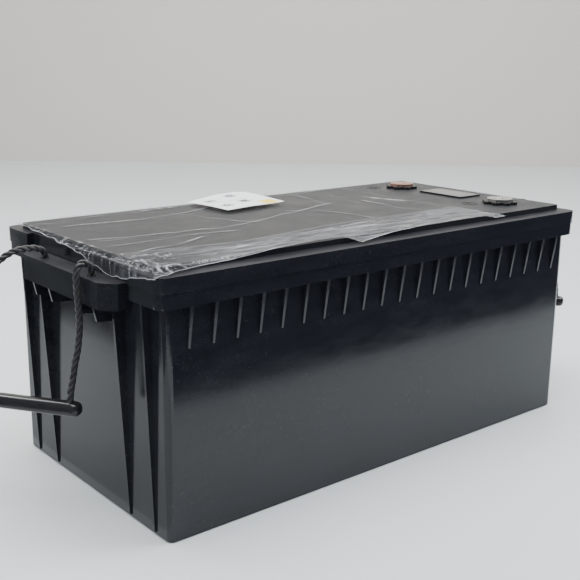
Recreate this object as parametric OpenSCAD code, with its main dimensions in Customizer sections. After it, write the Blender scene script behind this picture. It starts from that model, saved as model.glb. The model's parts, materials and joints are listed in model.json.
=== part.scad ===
// Battery pack in a moulded case with rope handles: a 12.8 V pack of four prismatic cells.
// Millimetres, +Z up. The origin is the middle of the case's base. +X points to the end
// with the terminals, and the long faces look along +Y and -Y.

/* [Case] */
// Length over the rim
case_l = 522; // [516:1:530]
// Width over the rim
case_w = 269; // [266:1:274]
// Height from the base to the lid's raised panel
case_h = 225; // [223:1:230]
// Wall thickness of the container
wall_t = 4; // [3:0.5:5]
// Radius of the container's upright corners
corner_r = 6; // [5:1:8]

/* [Rim and lid] */
// Overhang of the rim past each end wall
end_overhang = 9.25; // [8.5:0.25:10]
// Overhang of the rim past each long wall
side_overhang = 7.25; // [7:0.25:8]
// Height of the rim band that container and lid make together
band_h = 25; // [24:0.5:26]
// Radius of the rim's corners
rim_r = 10; // [8:1:12]
// Depth of the recess in the rim at each end
recess_d = 6; // [5:0.5:6.5]
// Half width of that recess
recess_half = 88; // [86:1:92]
// Height of the raised panel above the rim
panel_rise = 5; // [4:0.5:6]
// Inset of the raised panel from the rim's ends
panel_end_inset = 8; // [7:0.5:10]
// Inset of the raised panel from the rim's long sides
panel_side_inset = 17.5; // [16:0.5:19]

/* [Ribs] */
// Number of ribs under the rim on each long side
rib_count = 21; // [15:2:21]
// Spacing of those ribs
rib_pitch = 23.1; // [22:0.1:23.6]
// Height of those ribs
rib_h = 35; // [26:1:38]
// Distance of the inner tall ribs on each end wall from the middle
end_rib_inner = 66.5; // [62:0.5:70]
// Distance of the outer tall ribs on each end wall from the middle
end_rib_outer = 105.5; // [100:0.5:110]

/* [Handles] */
// Distance of each rope hole from the middle of the end
rope_hole_y = 42; // [38:1:46]
// Diameter of the rope
rope_d = 6; // [5:0.5:6.5]
// Length of a grip
grip_l = 133; // [130:1:136]
// Depth of a grip, front to back
grip_w = 13; // [12:0.5:15]
// Height of a grip
grip_h = 12; // [11:0.5:14]

/* [Terminals and display] */
// Distance of the terminals from the middle of the case, along its length
terminal_x = 208; // [200:1:212]
// Distance of each terminal from the middle of the case, across its width
terminal_y = 73; // [66:1:78]
// Radius of the drilled core of the M8 thread
terminal_bore_r = 3.4; // [3.3:0.05:3.5]
// Depth of that thread
terminal_bore_depth = 14; // [12:1:14]
// Length of the display, across the case
display_w = 62; // [58:1:66]
// Width of the display, along the case
display_d = 35; // [32:1:38]

/* [Cells] */
// Thickness of a cell
cell_t = 71.5; // [70:0.5:72]
// Width of a cell
cell_w = 173.5; // [170:0.5:176]
// Height of a cell's can
cell_h = 202; // [196:1:202]
// Distance between the two studs of a cell
stud_gap = 122; // [118:1:124]

/* [Hidden] */

round_fn = 48;
rope_sides = 10;
thin_sides = 8;

black = [0.06, 0.06, 0.065];
rope_black = [0.09, 0.09, 0.09];
silver = [0.78, 0.78, 0.76];
copper = [0.78, 0.50, 0.38];
cell_blue = [0.16, 0.34, 0.62];

// Heights of the case's levels
rim_z = case_h - panel_rise - band_h;   // underside of the container's rim
split_z = rim_z + 12;                   // where the lid's skirt meets that rim
lid_z = case_h - panel_rise;            // top of the lid's border
plate_t = 3.5;                          // thickness of the lid's plates
plate_z = lid_z - plate_t;              // underside of the lid's border
panel_z = case_h - plate_t;             // underside of the raised panel
seal_t = 2.5;
wall_top = plate_z - seal_t;            // top of the container's wall
floor_t = 5;

// Plan sizes
body_l = case_l - 2 * end_overhang;
body_w = case_w - 2 * side_overhang;
inner_l = body_l - 2 * wall_t;
inner_w = body_w - 2 * wall_t;
panel_l = case_l - 2 * panel_end_inset;
panel_w = case_w - 2 * panel_side_inset;
panel_r = 4;
panel_end_wall = 6;                     // thickness of the raised panel's end edges
rim_step = 1;                           // the container's rim stands this far inside the lid's skirt
skirt_t = 3;
foot_step = 1.5;                        // the base's edge steps in by this much
split_gap = 0.3;

// Handle box on each end wall: a ledge that the rope passes down through
box_front = body_l / 2 + 23.25;
box_shoulder = body_l / 2 + 12.5;
box_half_front = 67;
box_half_back = 80;
box_top = split_z - 0.5;
box_bottom = box_top - 22;
ledge_t = 4;
rope_hole_x = body_l / 2 + 14.25;
rope_hole_r = rope_d / 2 + 0.7;
fin_y = [24, 54];                       // ribs inside the box, which show below it
fin_t = 2.5;
fin_drop = 13;

// Grip: its near end, its bearing about Z and its tilt, as it hangs
grip_start = [-283.5, -46.5, 97.5];
grip_bearing = 118.6;
grip_tilt = 2.5;
grip_end_r = 5;
grip_hole = 9.5;                        // from each end to the rope hole's middle
grip_hole_depth = 9;

rope_stub = 0.6;                        // the knotted stretch stands this far above the ledge

// Routes of the two ropes of the left handle, from the ledge to the grip
front_route = [
    [-266, -42, 207.5], [-266.5, -42, 211.5], [-268.5, -42, 215.5], [-272, -42, 217.5],
    [-275.5, -42, 217], [-278, -42, 214.5], [-279.5, -42, 210.5], [-279.7, -42, 204],
    [-279.5, -42, 196], [-279, -42, 184], [-278.7, -42, 172], [-279.5, -42, 160],
    [-281.5, -42, 147], [-284.5, -41.5, 134], [-286.5, -40.5, 121], [-288, -39, 110],
    [-288, -38, 95]
];
back_route = [
    [-266, 42, 207.5], [-266.5, 42, 211], [-269.5, 42, 214], [-275, 42, 216],
    [-282, 42, 216.5], [-290, 42.5, 216], [-298, 43.5, 213.5], [-305, 45, 209],
    [-311.5, 47, 202.5], [-317.5, 49, 194], [-323, 51, 183.5], [-328, 53, 171.5],
    [-332.5, 55, 158], [-336.5, 57, 143.5], [-339.5, 59, 128.5], [-342, 61, 112],
    [-343, 62, 90]
];

// Terminals, on top of the raised panel
terminal_base_h = 3;
terminal_head_h = 2.5;
terminal_head_af = 27;
terminal_shank_r = 9.9;
terminal_lobes = 8;
terminal_lobe_r = 4.8;
terminal_lobe_at = 14.2;
terminal_hub_r = 14.8;
terminal_top = case_h + terminal_base_h + terminal_head_h;
terminal_shank_end = 214.5;
terminal_stud_r = 4;
terminal_stud_end = 204;

display_x = 216;
display_y = 5;
display_h = 1.8;
display_frame = 2.5;
display_board_t = 1.6;

// Cell stack: cells stand in a row along X, from the -X end
cell_gap = 1;
cell_pitch = cell_t + cell_gap;
end_plate_t = 6;
stack_x = -234;                         // outer face of the first cell
stack_end = stack_x + 4 * cell_pitch - cell_gap;
cell_z = floor_t + 2;
cell_top = cell_z + cell_h;
lug_t = 2;                              // links and lugs are the same thickness
pad_h = 1.5;
pad_z = cell_top + pad_h;
stud_r = 3;
bms_x = 72;                             // the bracket's outer face, next to the cells

function cell_x(i) = stack_x + cell_t / 2 + i * cell_pitch;
function mirrored(route) = [for (p = route) [-p[0], -p[1], p[2]]];
function unit(v) = v / norm(v);
function heading(p, i) = unit(p[min(i + 1, len(p) - 1)] - p[max(i - 1, 0)]);
function ring(centre, along, r, n, aside) =
    let (a = unit(cross(along, aside)), b = cross(along, a))
    [for (k = [0 : n - 1]) let (turn = 360 * k / n)
        centre + r * (cos(turn) * a + sin(turn) * b)];

// A round tube along a route, closed at both ends. aside is never along the route.
module swept(route, r, n = rope_sides, aside = [0, 1, 0]) {
    last = len(route) - 1;
    polyhedron(
        points = [for (i = [0 : last]) each ring(route[i], heading(route, i), r, n, aside)],
        faces = concat(
            [[for (k = [0 : n - 1]) k]],
            [for (i = [0 : last - 1]) for (k = [0 : n - 1])
                [i * n + (k + 1) % n, i * n + k, (i + 1) * n + k, (i + 1) * n + (k + 1) % n]],
            [[for (k = [n - 1 : -1 : 0]) last * n + k]]
        )
    );
}

// A rectangle with true round corners
module rounded(l, w, r) {
    square([l, w - 2 * r], center = true);
    square([l - 2 * r, w], center = true);
    for (x = [-1, 1], y = [-1, 1])
        translate([x * (l / 2 - r), y * (w / 2 - r)]) circle(r, $fn = round_fn);
}

// Plan of the rim, set in by some amount all round, with its recess at both ends
module rim_plan(inset) {
    difference() {
        rounded(case_l - 2 * inset, case_w - 2 * inset, rim_r - inset);
        for (side = [-1, 1])
            translate([side * (case_l / 2 - recess_d - inset + 20), 0])
                square([40, 2 * (recess_half + inset)], center = true);
    }
}

module both_ends() {
    children();
    rotate([0, 0, 180]) children();
}

// ---- case ----

module container() {
    color(black)
    difference() {
        union() {
            linear_extrude(foot_step + 0.01)
                rounded(body_l - 2 * foot_step, body_w - 2 * foot_step, corner_r - foot_step);
            translate([0, 0, foot_step])
                linear_extrude(wall_top - foot_step) rounded(body_l, body_w, corner_r);
            translate([0, 0, rim_z]) linear_extrude(split_z - rim_z) rim_plan(rim_step);
            side_ribs();
            rotate([0, 0, 180]) side_ribs();
            both_ends() end_ribs();
            both_ends() handle_box();
        }
        translate([0, 0, floor_t])
            linear_extrude(case_h) rounded(inner_l, inner_w, corner_r - 2);
        rim_channel();
        both_ends() handle_box_pockets();
    }
}

// The channel that the lid's tongue drops into, between the wall and the rim's lip
module rim_channel() {
    translate([0, 0, rim_z + skirt_t])
        linear_extrude(case_h)
            difference() {
                rim_plan(rim_step + skirt_t);
                rounded(body_l, body_w, corner_r);
            }
}

// Ribs under the rim along one long side: each narrows downwards in both directions
module side_ribs() {
    reach = side_overhang - rim_step - 0.3;
    top_t = 3.2;
    bottom_t = 2.2;
    foot_depth = 0.7;
    for (i = [0 : rib_count - 1])
        translate([(i - (rib_count - 1) / 2) * rib_pitch, -body_w / 2, rim_z])
            intersection() {
                rotate([90, 0, 0])
                    translate([0, 0, -1])
                        linear_extrude(reach + 2)
                            polygon([[-top_t / 2, 0.5], [top_t / 2, 0.5],
                                     [bottom_t / 2, -rib_h], [-bottom_t / 2, -rib_h]]);
                rotate([90, 0, -90])
                    translate([0, 0, -top_t])
                        linear_extrude(2 * top_t)
                            polygon([[-1, 0.5], [reach, 0.5], [reach, 0],
                                     [foot_depth, -rib_h], [-1, -rib_h]]);
            }
}

// Four tall thin ribs on the -X end wall, nearly to the base
module end_ribs() {
    rib_t = 2.8;
    foot_z = 3;
    foot_depth = 1.4;
    // the inner pair starts under the handle box, the outer pair under the rim
    for (rib = [[end_rib_inner, box_bottom, 10.5], [end_rib_outer, rim_z, 8]], side = [-1, 1])
        translate([-body_l / 2, side * rib[0] + rib_t / 2, 0])
            rotate([90, 0, 0])
                linear_extrude(rib_t)
                    polygon([[0.5, foot_z], [-foot_depth, foot_z],
                             [-rib[2], rib[1]], [-rib[2], rib[1] + 0.5], [0.5, rib[1] + 0.5]]);
}

module box_plan(inset) {
    polygon([
        [-body_l / 2 + 1, -box_half_back + inset], [-box_shoulder, -box_half_back + inset],
        [-box_front + inset, -box_half_front + 0.6 * inset],
        [-box_front + inset, box_half_front - 0.6 * inset],
        [-box_shoulder, box_half_back - inset], [-body_l / 2 + 1, box_half_back - inset]
    ]);
}

module handle_box() {
    translate([0, 0, box_bottom]) linear_extrude(box_top - box_bottom) box_plan(0);
    for (y = fin_y, side = [-1, 1])
        translate([0, side * y + fin_t / 2, 0])
            rotate([90, 0, 0])
                linear_extrude(fin_t)
                    polygon([
                        [-body_l / 2 + 0.5, box_bottom + 0.5], [-box_front + 2, box_bottom + 0.5],
                        [-box_front + 2, box_bottom], [-box_front + 5, box_bottom - fin_drop],
                        [-body_l / 2 + 0.5, box_bottom - fin_drop - 2]
                    ]);
}

// The box is hollow from below, with its fins left standing, and bored for the two ropes
module handle_box_pockets() {
    difference() {
        translate([0, 0, box_bottom - 20])
            linear_extrude(box_top - box_bottom - ledge_t + 20)
                intersection() {
                    box_plan(3);
                    translate([-body_l / 2 - 50, 0])
                        square([100, 4 * box_half_back], center = true);
                }
        for (y = fin_y, side = [-1, 1])
            translate([-box_front, side * y - fin_t / 2, box_bottom - 40])
                cube([60, fin_t, 80]);
        for (side = [-1, 1])
            translate([-box_shoulder, side * end_rib_inner - 1.4, box_bottom - 40])
                cube([60, 2.8, 80]);
        translate([-body_l / 2 - 40, -2 * box_half_back, box_bottom - 60])
            cube([80, 4 * box_half_back, 60]);
    }
    for (side = [-1, 1])
        translate([-rope_hole_x, side * rope_hole_y, box_bottom + 5])
            cylinder(r = rope_hole_r, h = 40, $fn = round_fn);
}

module lid() {
    tongue_end = rim_z + skirt_t + 0.5;
    color(black)
    difference() {
        union() {
            translate([0, 0, split_z + split_gap])
                linear_extrude(lid_z - split_z - split_gap) rim_plan(0);
            translate([0, 0, lid_z - 0.01])
                linear_extrude(panel_rise + 0.01) rounded(panel_l, panel_w, panel_r);
            lid_tongue(tongue_end);
            polarity_marks();
        }
        // inside of the skirt, clear of the tongue
        difference() {
            translate([0, 0, split_z - 1]) linear_extrude(plate_z - split_z + 1) rim_plan(skirt_t);
            lid_tongue(tongue_end);
        }
        // hollow of the raised panel
        translate([0, 0, split_z])
            linear_extrude(panel_z - split_z)
                rounded(panel_l - 2 * panel_end_wall, panel_w - 2 * plate_t, panel_r);
        for (side = [-1, 1])
            translate([terminal_x, side * terminal_y, panel_z - 5])
                cylinder(r = terminal_shank_r + 0.2, h = 20, $fn = round_fn);
        translate([display_x, display_y, case_h])
            cube([display_d - 8, display_w - 8, 20], center = true);
    }
}

// A rib round the lid's underside that drops into the container's channel
module lid_tongue(end_z) {
    translate([0, 0, end_z])
        linear_extrude(lid_z - end_z - 1)
            difference() {
                rounded(body_l + 6, body_w + 6, corner_r + 3);
                rounded(body_l + 1.2, body_w + 1.2, corner_r + 0.6);
                square([2 * body_l, 2 * (recess_half + skirt_t + 2)], center = true);
            }
}

// A raised ring with a plus or a minus beside each terminal
module polarity_marks() {
    mark_r = 9;
    mark_h = 0.3;
    bar = [1.4, 10];
    for (side = [-1, 1])
        translate([terminal_x - 30, side * terminal_y + 17, case_h - 0.1]) {
            linear_extrude(mark_h + 0.1)
                difference() {
                    circle(mark_r, $fn = round_fn);
                    circle(mark_r - 1, $fn = round_fn);
                }
            linear_extrude(mark_h + 0.1) square([bar[0], bar[1]], center = true);
            if (side > 0) linear_extrude(mark_h + 0.1) square([bar[1], bar[0]], center = true);
        }
}

module lid_seal() {
    color([0.2, 0.2, 0.2])
    translate([0, 0, wall_top])
        linear_extrude(seal_t)
            difference() {
                rounded(body_l, body_w, corner_r);
                rounded(inner_l, inner_w, corner_r - 2);
            }
}

// ---- handles ----

module grip() {
    translate(grip_start)
        rotate([0, grip_tilt, grip_bearing])
            difference() {
                translate([grip_l / 2, 0, -grip_h / 2])
                    linear_extrude(grip_h) rounded(grip_l, grip_w, grip_end_r);
                for (x = [grip_hole, grip_l - grip_hole])
                    translate([x, 0, grip_h / 2 - grip_hole_depth])
                        cylinder(r = rope_hole_r, h = 20, $fn = round_fn);
            }
}

module rope_knots() {
    knot_r = 5.8;
    for (side = [-1, 1])
        translate([-rope_hole_x, side * rope_hole_y, 0]) {
            translate([0, 0, box_top - ledge_t - knot_r]) sphere(r = knot_r, $fn = round_fn);
            translate([0, 0, box_top - ledge_t - knot_r])
                cylinder(r = rope_d / 2, h = ledge_t + knot_r + rope_stub, $fn = round_fn);
            translate([0, 0, box_top - ledge_t - 2 * knot_r - 5])
                cylinder(r = rope_d / 2, h = knot_r, $fn = round_fn);
        }
}

module left_grip() { color(black) grip(); }
module right_grip() { color(black) rotate([0, 0, 180]) grip(); }
module left_rope_front() { color(rope_black) swept(front_route, rope_d / 2); }
module left_rope_back() { color(rope_black) swept(back_route, rope_d / 2); }
module right_rope_front() { color(rope_black) swept(mirrored(back_route), rope_d / 2); }
module right_rope_back() { color(rope_black) swept(mirrored(front_route), rope_d / 2); }
module left_rope_knots() { color(rope_black) rope_knots(); }
module right_rope_knots() { color(rope_black) rotate([0, 0, 180]) rope_knots(); }

// ---- terminals and display ----

module terminal_base() {
    linear_extrude(terminal_base_h)
        difference() {
            union() {
                circle(terminal_hub_r, $fn = round_fn);
                for (i = [0 : terminal_lobes - 1])
                    rotate([0, 0, (i + 0.5) * 360 / terminal_lobes])
                        translate([terminal_lobe_at, 0]) circle(terminal_lobe_r, $fn = round_fn);
            }
            circle(terminal_shank_r + 0.1, $fn = round_fn);
        }
}

module terminal_post() {
    difference() {
        union() {
            translate([0, 0, terminal_shank_end])
                cylinder(r = terminal_shank_r,
                         h = case_h + terminal_base_h - terminal_shank_end + 0.5, $fn = round_fn);
            translate([0, 0, terminal_stud_end])
                cylinder(r = terminal_stud_r, h = 15, $fn = round_fn);
            translate([0, 0, case_h + terminal_base_h])
                rotate([0, 0, 22.5])
                    cylinder(r = terminal_head_af / 2 / cos(22.5), h = terminal_head_h, $fn = 8);
        }
        translate([0, 0, terminal_top - terminal_bore_depth])
            cylinder(r = terminal_bore_r, h = terminal_bore_depth + 1, $fn = round_fn);
    }
}

module positive_terminal_base() {
    color(black) translate([terminal_x, terminal_y, case_h]) terminal_base();
}
module negative_terminal_base() {
    color(black) translate([terminal_x, -terminal_y, case_h]) terminal_base();
}
module positive_terminal_post() {
    color(copper) translate([terminal_x, terminal_y, 0]) terminal_post();
}
module negative_terminal_post() {
    color(silver) translate([terminal_x, -terminal_y, 0]) terminal_post();
}

// Flat nuts that clamp the posts to the lid, and the nuts that hold the cable lugs to them
module terminal_nuts() {
    clamp_h = 4;
    lug_nut_h = 6;
    color(silver)
    for (side = [-1, 1])
        translate([terminal_x, side * terminal_y, 0]) {
            hex_nut(panel_z - clamp_h, 16, clamp_h, terminal_shank_r);
            hex_nut(terminal_shank_end - lug_t - lug_nut_h, 7.5, lug_nut_h, terminal_stud_r);
        }
}

module hex_nut(z, r, h, bore) {
    translate([0, 0, z])
        difference() {
            cylinder(r = r, h = h, $fn = 6);
            translate([0, 0, -1]) cylinder(r = bore + 0.05, h = h + 2, $fn = round_fn);
        }
}

module display_bezel() {
    color(black)
    translate([display_x, display_y, case_h])
        difference() {
            linear_extrude(display_h) rounded(display_d, display_w, 2);
            translate([0, 0, -1])
                linear_extrude(display_h + 2)
                    rounded(display_d - 2 * display_frame, display_w - 2 * display_frame, 1);
        }
}

module display_window() {
    color([0.12, 0.12, 0.13])
    translate([display_x, display_y, case_h + display_h - 1.4])
        linear_extrude(1.3)
            rounded(display_d - 2 * display_frame, display_w - 2 * display_frame, 1);
}

module display_board() {
    color([0.05, 0.3, 0.15])
    translate([display_x, display_y, panel_z - display_board_t]) {
        linear_extrude(display_board_t) square([display_d, display_w], center = true);
        linear_extrude(4.5) square([20, 40], center = true);
    }
}

module display_lead() {
    color([0.8, 0.8, 0.8])
    swept([[210, 0, panel_z - display_board_t - 0.1], [210, 0, 216], [207, 4, 211], [198, 12, 204], [175, 20, 198],
           [140, 25, 195], [110, 27, 190], [93, 27, 182], [88, 27, 173], [88, 27, 163.1]], 1.5, thin_sides);
}

// ---- film and label on the lid ----

module protective_film() {
    color([0.85, 0.88, 0.9, 0.4])
    translate([0, 0, case_h])
        linear_extrude(1)
            polygon([[-262, 114], [-262, -130], [-100, -96], [-48, -118],
                     [90, -88], [182, -98], [146, -62], [146, 114]]);
}

module label_sheet() {
    color("white")
    translate([-32, 80, case_h + 1.2])
        rotate([0, 0, 12]) translate([-45, -41, 0]) cube([90, 82, 1]);
}

// ---- inside ----

module cell(i) {
    color(cell_blue)
    translate([cell_x(i), 0, cell_z])
        linear_extrude(cell_h) rounded(cell_t, cell_w, 3);
}
module cell_1() { cell(0); }
module cell_2() { cell(1); }
module cell_3() { cell(2); }
module cell_4() { cell(3); }

// Terminal pads of the cells, each with its stud
module cell_studs() {
    color(silver)
    for (i = [0 : 3], side = [-1, 1])
        translate([cell_x(i), side * stud_gap / 2, cell_top]) {
            cylinder(r = 10, h = pad_h, $fn = round_fn);
            cylinder(r = stud_r, h = pad_h + 7, $fn = round_fn);
        }
}

// Links in series, on alternate sides of the row
module cell_busbars() {
    color(copper)
    for (i = [0 : 2])
        translate([cell_x(i) + cell_pitch / 2, (i % 2 == 0 ? -1 : 1) * stud_gap / 2, pad_z])
            linear_extrude(lug_t)
                difference() {
                    rounded(cell_pitch + 22, 22, 6);
                    for (end = [-1, 1])
                        translate([end * cell_pitch / 2, 0])
                            circle(stud_r + 0.2, $fn = round_fn);
                }
}

module cell_nuts() {
    color(silver)
    for (i = [0 : 3], side = [-1, 1])
        translate([cell_x(i), side * stud_gap / 2, 0]) hex_nut(pad_z + lug_t, 5.77, 4, stud_r);
}

module cell_spacers() {
    color([0.35, 0.6, 0.4])
    for (i = [0 : 2])
        translate([cell_x(i) + cell_t / 2, -cell_w / 2 + 2, cell_z + 2])
            cube([cell_gap, cell_w - 4, cell_h - 6]);
}

module cell_end_plates() {
    color(silver)
    for (x = [stack_x - end_plate_t, stack_end])
        translate([x, -cell_w / 2, cell_z]) cube([end_plate_t, cell_w, cell_h - 4]);
}

// Two steel bands that hold the row together
module compression_bands() {
    band_w = 19;
    band_t = 0.8;
    out_l = stack_end - stack_x + 2 * end_plate_t;
    color([0.6, 0.6, 0.62])
    for (z = [cell_z + 45, cell_z + 140])
        translate([(stack_x + stack_end) / 2, 0, z])
            linear_extrude(band_w)
                difference() {
                    rounded(out_l + 2 * band_t, cell_w + 2 * band_t, 1.2);
                    square([out_l, cell_w], center = true);
                }
}

module base_pad() {
    color([0.25, 0.25, 0.25])
    translate([stack_x - end_plate_t, -cell_w / 2, floor_t])
        cube([stack_end - stack_x + 2 * end_plate_t, cell_w, 2]);
}

module side_foam() {
    gap = (inner_w - cell_w) / 2 - 1.6;
    color([0.3, 0.3, 0.32])
    for (side = [-1, 1])
        translate([(stack_x + stack_end) / 2, side * (inner_w / 2 - gap / 2), floor_t + 80])
            cube([240, gap, 160], center = true);
}

module end_foam() {
    color([0.3, 0.3, 0.32])
    translate([-inner_l / 2, -80, floor_t])
        cube([stack_x - end_plate_t - 0.8 + inner_l / 2, 160, 180]);
}

module bms_bracket() {
    color(silver)
    difference() {
        union() {
            translate([bms_x, -90, floor_t]) cube([3, 180, 185]);
            translate([bms_x, -90, floor_t]) cube([30, 180, 3]);
        }
        bms_screw_places() cylinder(r = 2.1, h = 60, center = true, $fn = round_fn);
    }
}

module bms_screw_places() {
    for (y = [-70, 70], z = [70, 160])
        translate([bms_x + 3, y, z]) rotate([0, 90, 0]) children();
}

module bms_board() {
    color([0.05, 0.3, 0.15])
    difference() {
        union() {
            translate([bms_x + 11, -78, 60]) cube([1.6, 156, 110]);
            for (y = [-60 : 15 : 60])
                translate([bms_x + 5, y - 5, 84]) cube([6, 10, 12]);
            translate([bms_x + 12.6, -12, 155]) cube([10, 24, 8]);
            translate([bms_x + 12.6, 22, 155]) cube([7, 10, 8]);
            for (side = [-1, 1])
                translate([bms_x + 12.6, side * 58 - 8, 152]) cube([10, 16, 16]);
        }
        bms_screw_places() cylinder(r = 2.1, h = 60, center = true, $fn = round_fn);
    }
}

module bms_heat_sink() {
    color([0.35, 0.36, 0.38])
    difference() {
        union() {
            translate([bms_x + 12.6, -78, 62]) cube([6, 156, 88]);
            for (y = [-74 : 12 : 74])
                translate([bms_x + 18, y, 62]) cube([16, 2.5, 88]);
        }
        bms_screw_places() cylinder(r = 5, h = 120, center = true, $fn = round_fn);
    }
}

// Screws with spacers that hold the board off its bracket
module bms_screws() {
    color(silver)
    bms_screw_places() {
        translate([0, 0, -1.5]) cylinder(r = 2, h = 13, $fn = round_fn);
        cylinder(r = 4, h = 8, $fn = round_fn);
        translate([0, 0, 9.6]) cylinder(r = 3.5, h = 3, $fn = round_fn);
    }
}

// ---- cables ----

cable_r = 4;
barrel_r = 4.5;
lug_half = 9;                           // half width of a cell's lug
lug_l = 18;                             // from the stud to the end of a cell lug's barrel
post_lug_half = 11;
post_lug_l = 23;

// Each cable starts and ends at the face of a lug's barrel or of a block on the board
module positive_cable() {
    color([0.75, 0.08, 0.06])
    swept([[cell_x(3) + lug_l, 61, pad_z + barrel_r], [50, 61, 215], [70, 63, 213],
           [100, 67, 206], [130, 70, 202], [155, 73, 206], [172, 73, 210],
           [terminal_x - post_lug_l, terminal_y, terminal_shank_end - barrel_r]], cable_r);
}

module battery_cable() {
    color(rope_black)
    swept([[cell_x(0), 61 + lug_l, pad_z + barrel_r], [cell_x(0), 85, 215], [-195, 94, 213],
           [-184, 102, 209], [-165, 105, 205], [-110, 106, 201], [-40, 106, 199], [30, 106, 198],
           [64, 102, 198], [80, 88, 197], [88, 70, 193], [90, 60, 184], [90, 58, 176],
           [90, 58, 168.1]],
          cable_r, rope_sides, [0.1, 0.2, 1]);
}

module negative_cable() {
    color(rope_black)
    swept([[90, -58, 168.1], [90, -58, 178], [91, -58, 186], [97, -60, 195], [110, -64, 202], [130, -68, 207],
           [155, -73, 209], [172, -73, 210],
           [terminal_x - post_lug_l, -terminal_y, terminal_shank_end - barrel_r]], cable_r);
}

// Ring lug along +X: a flat plate with its hole at the origin, and its barrel beside it.
// over is 1 where the barrel stands above the plate's underside, -1 where it hangs below.
module ring_lug(half, l, hole_r, over) {
    difference() {
        union() {
            translate([-half, -half, 0]) cube([2 * half, 2 * half, lug_t]);
            translate([half - 1, 0, over > 0 ? barrel_r : lug_t - barrel_r])
                rotate([0, 90, 0]) cylinder(r = barrel_r, h = l - half + 1, $fn = round_fn);
        }
        translate([0, 0, -3]) cylinder(r = hole_r, h = 12, $fn = round_fn);
    }
}

module cable_lugs() {
    color(silver) {
        translate([cell_x(3), 61, pad_z]) ring_lug(lug_half, lug_l, stud_r + 0.2, 1);
        translate([cell_x(0), 61, pad_z])
            rotate([0, 0, 90]) ring_lug(lug_half, lug_l, stud_r + 0.2, 1);
        for (side = [-1, 1])
            translate([terminal_x, side * terminal_y, terminal_shank_end - lug_t])
                rotate([0, 0, 180])
                    ring_lug(post_lug_half, post_lug_l, terminal_stud_r + 0.2, -1);
    }
}

// A thin lead from each link or end stud to the board's connector, each in its own lane
module sense_lead(x, y, lane) {
    z = pad_z + 1;
    swept([[x, y, z], [x + 4, 0.6 * y, z], [x + 16, lane + sign(y) * 4, z], [x + 26, lane, z],
           [64, lane, z], [80, lane, 206], [88, lane, 194], [90, lane, 180], [90, lane, 163.1]],
          1, thin_sides, [0.1, 0.02, 1]);
}

module sense_leads() {
    color([0.1, 0.35, 0.8]) {
        sense_lead(cell_x(0), 51, 0);
        sense_lead(cell_x(1) + cell_pitch / 2, 49, 4);
        sense_lead(cell_x(3), 51, 8);
        sense_lead(cell_x(0) + cell_pitch / 2, -49, -4);
        sense_lead(cell_x(2) + cell_pitch / 2, -49, -8);
    }
}

container();
lid();
lid_seal();
left_grip();
left_rope_front();
left_rope_back();
left_rope_knots();
right_grip();
right_rope_front();
right_rope_back();
right_rope_knots();
positive_terminal_base();
negative_terminal_base();
positive_terminal_post();
negative_terminal_post();
terminal_nuts();
display_bezel();
display_window();
display_board();
display_lead();
protective_film();
label_sheet();
cell_1();
cell_2();
cell_3();
cell_4();
cell_studs();
cell_busbars();
cell_nuts();
cell_spacers();
cell_end_plates();
compression_bands();
base_pad();
side_foam();
end_foam();
bms_bracket();
bms_board();
bms_heat_sink();
bms_screws();
positive_cable();
battery_cable();
negative_cable();
cable_lugs();
sense_leads();
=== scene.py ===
"""Battery pack with rope handles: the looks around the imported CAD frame.

Lengths are in metres, in the row's frame. MM turns a size written in millimetres into metres.
"""
import json
import math

import bpy
import numpy as np
from mathutils import Matrix, Vector, noise


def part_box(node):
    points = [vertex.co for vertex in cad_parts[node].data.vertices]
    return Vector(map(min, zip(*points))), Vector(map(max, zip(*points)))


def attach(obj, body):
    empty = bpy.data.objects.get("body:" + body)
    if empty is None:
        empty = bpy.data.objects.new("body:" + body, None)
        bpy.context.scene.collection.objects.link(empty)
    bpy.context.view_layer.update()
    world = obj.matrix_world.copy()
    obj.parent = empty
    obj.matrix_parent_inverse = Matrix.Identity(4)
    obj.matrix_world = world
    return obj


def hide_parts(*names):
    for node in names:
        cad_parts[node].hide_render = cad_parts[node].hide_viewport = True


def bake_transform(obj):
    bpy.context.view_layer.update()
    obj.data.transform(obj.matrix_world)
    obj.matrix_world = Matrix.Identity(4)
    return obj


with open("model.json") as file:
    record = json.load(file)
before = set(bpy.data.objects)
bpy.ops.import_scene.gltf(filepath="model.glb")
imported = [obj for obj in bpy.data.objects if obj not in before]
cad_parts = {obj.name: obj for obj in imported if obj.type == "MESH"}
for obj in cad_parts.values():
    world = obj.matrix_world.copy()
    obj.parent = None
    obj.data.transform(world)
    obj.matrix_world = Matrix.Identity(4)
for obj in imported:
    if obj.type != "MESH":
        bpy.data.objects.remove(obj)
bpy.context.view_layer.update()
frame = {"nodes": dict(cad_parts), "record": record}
MM = 0.001

# ---------------------------------------------------------------- camera

CAMERA_AT = Vector((-616.2, -710.7, 383.3)) * MM
YAW, PITCH, ROLL = math.radians(39.776), math.radians(14.215), math.radians(0.643)
LENS = 58.87


def make_camera():
    ahead = Vector((math.cos(PITCH) * math.sin(YAW), math.cos(PITCH) * math.cos(YAW), -math.sin(PITCH)))
    right = Vector((math.cos(YAW), -math.sin(YAW), 0))
    up = right.cross(ahead)
    rolled_right = right * math.cos(ROLL) + up * math.sin(ROLL)
    rolled_up = up * math.cos(ROLL) - right * math.sin(ROLL)
    data = bpy.data.cameras.new("camera")
    data.lens = LENS
    data.sensor_width = 36
    camera = bpy.data.objects.new("camera", data)
    camera.matrix_world = Matrix(
        (
            (rolled_right.x, rolled_up.x, -ahead.x, CAMERA_AT.x),
            (rolled_right.y, rolled_up.y, -ahead.y, CAMERA_AT.y),
            (rolled_right.z, rolled_up.z, -ahead.z, CAMERA_AT.z),
            (0, 0, 0, 1),
        )
    )
    bpy.context.collection.objects.link(camera)
    bpy.context.scene.camera = camera


# ---------------------------------------------------------------- meshes


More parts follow.
